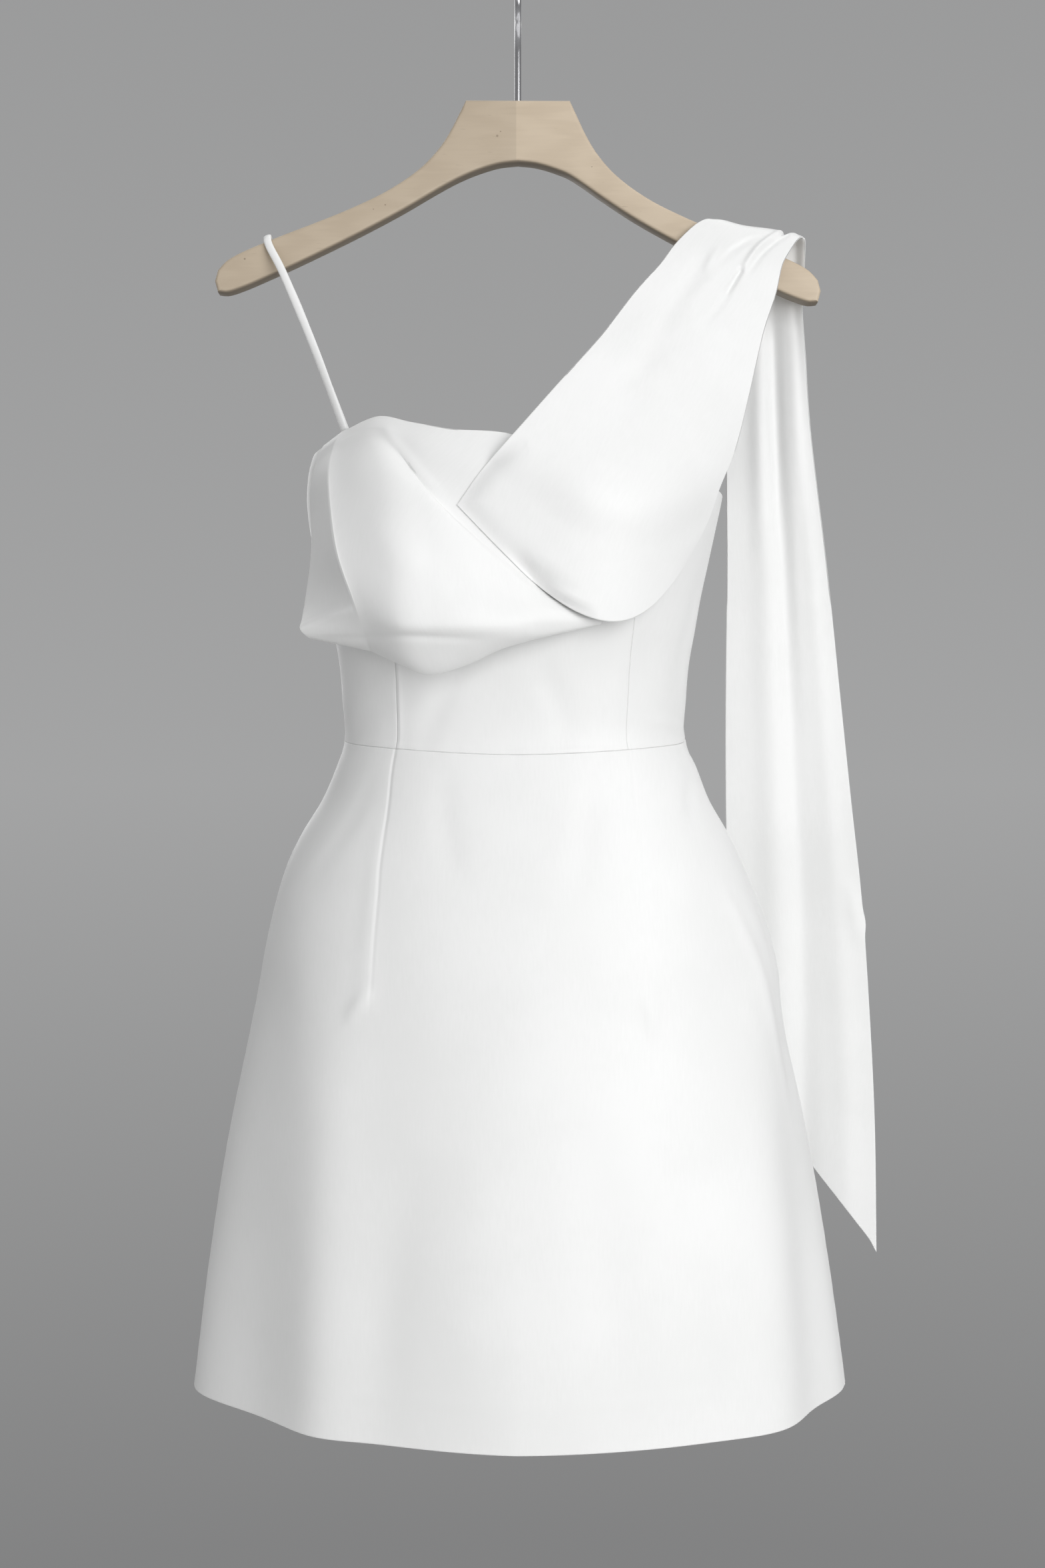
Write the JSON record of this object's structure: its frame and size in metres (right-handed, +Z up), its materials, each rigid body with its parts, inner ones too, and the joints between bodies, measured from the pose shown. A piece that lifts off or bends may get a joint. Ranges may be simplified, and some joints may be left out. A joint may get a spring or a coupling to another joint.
{
  "type": "one-shoulder mini dress on a wooden hanger",
  "caption": "White satin one-shoulder mini dress with a folded bust drape and a shoulder streamer, filled out and hung on a flat wooden hanger with a wire hook.",
  "frame": {"origin": "the inner top of the hanger's hook, where a rail carries it", "axes": "+Z up, the dress's front faces -Y, its draped shoulder and streamer are at +X, and the rail runs along X"},
  "size_m": [0.4894, 0.2501, 0.9917],
  "materials": {
    "satin": "heavy white satin with a soft sheen",
    "wood": "pale beige wood with a matt varnish",
    "chrome": "polished wire",
    "zip_tape": "woven white tape",
    "enamel": "white enamel"
  },
  "bodies": {
    "root": {"hanger_wood": "wood", "hanger_hook": "chrome", "bodice_front": "satin", "bodice_side_front_left": "satin", "bodice_side_front_right": "satin", "bodice_back_left": "satin", "bodice_back_right": "satin", "skirt_front": "satin", "skirt_back_left": "satin", "skirt_back_right": "satin", "bust_drape": "satin", "shoulder_drape": "satin", "shoulder_tail": "satin", "back_shoulder_band": "satin", "strap": "satin", "zip_tape": "zip_tape", "zip_slider": "enamel"},
    "pull": {"zip_pull": "enamel"}
  },
  "joints": [
    {"name": "pull_hinge", "type": "hinge", "parent": "root", "child": "pull", "pos_m": [0, 0.08985, -0.3526], "axis": [1, 0, 0], "range_deg": [0, 150]}
  ]
}
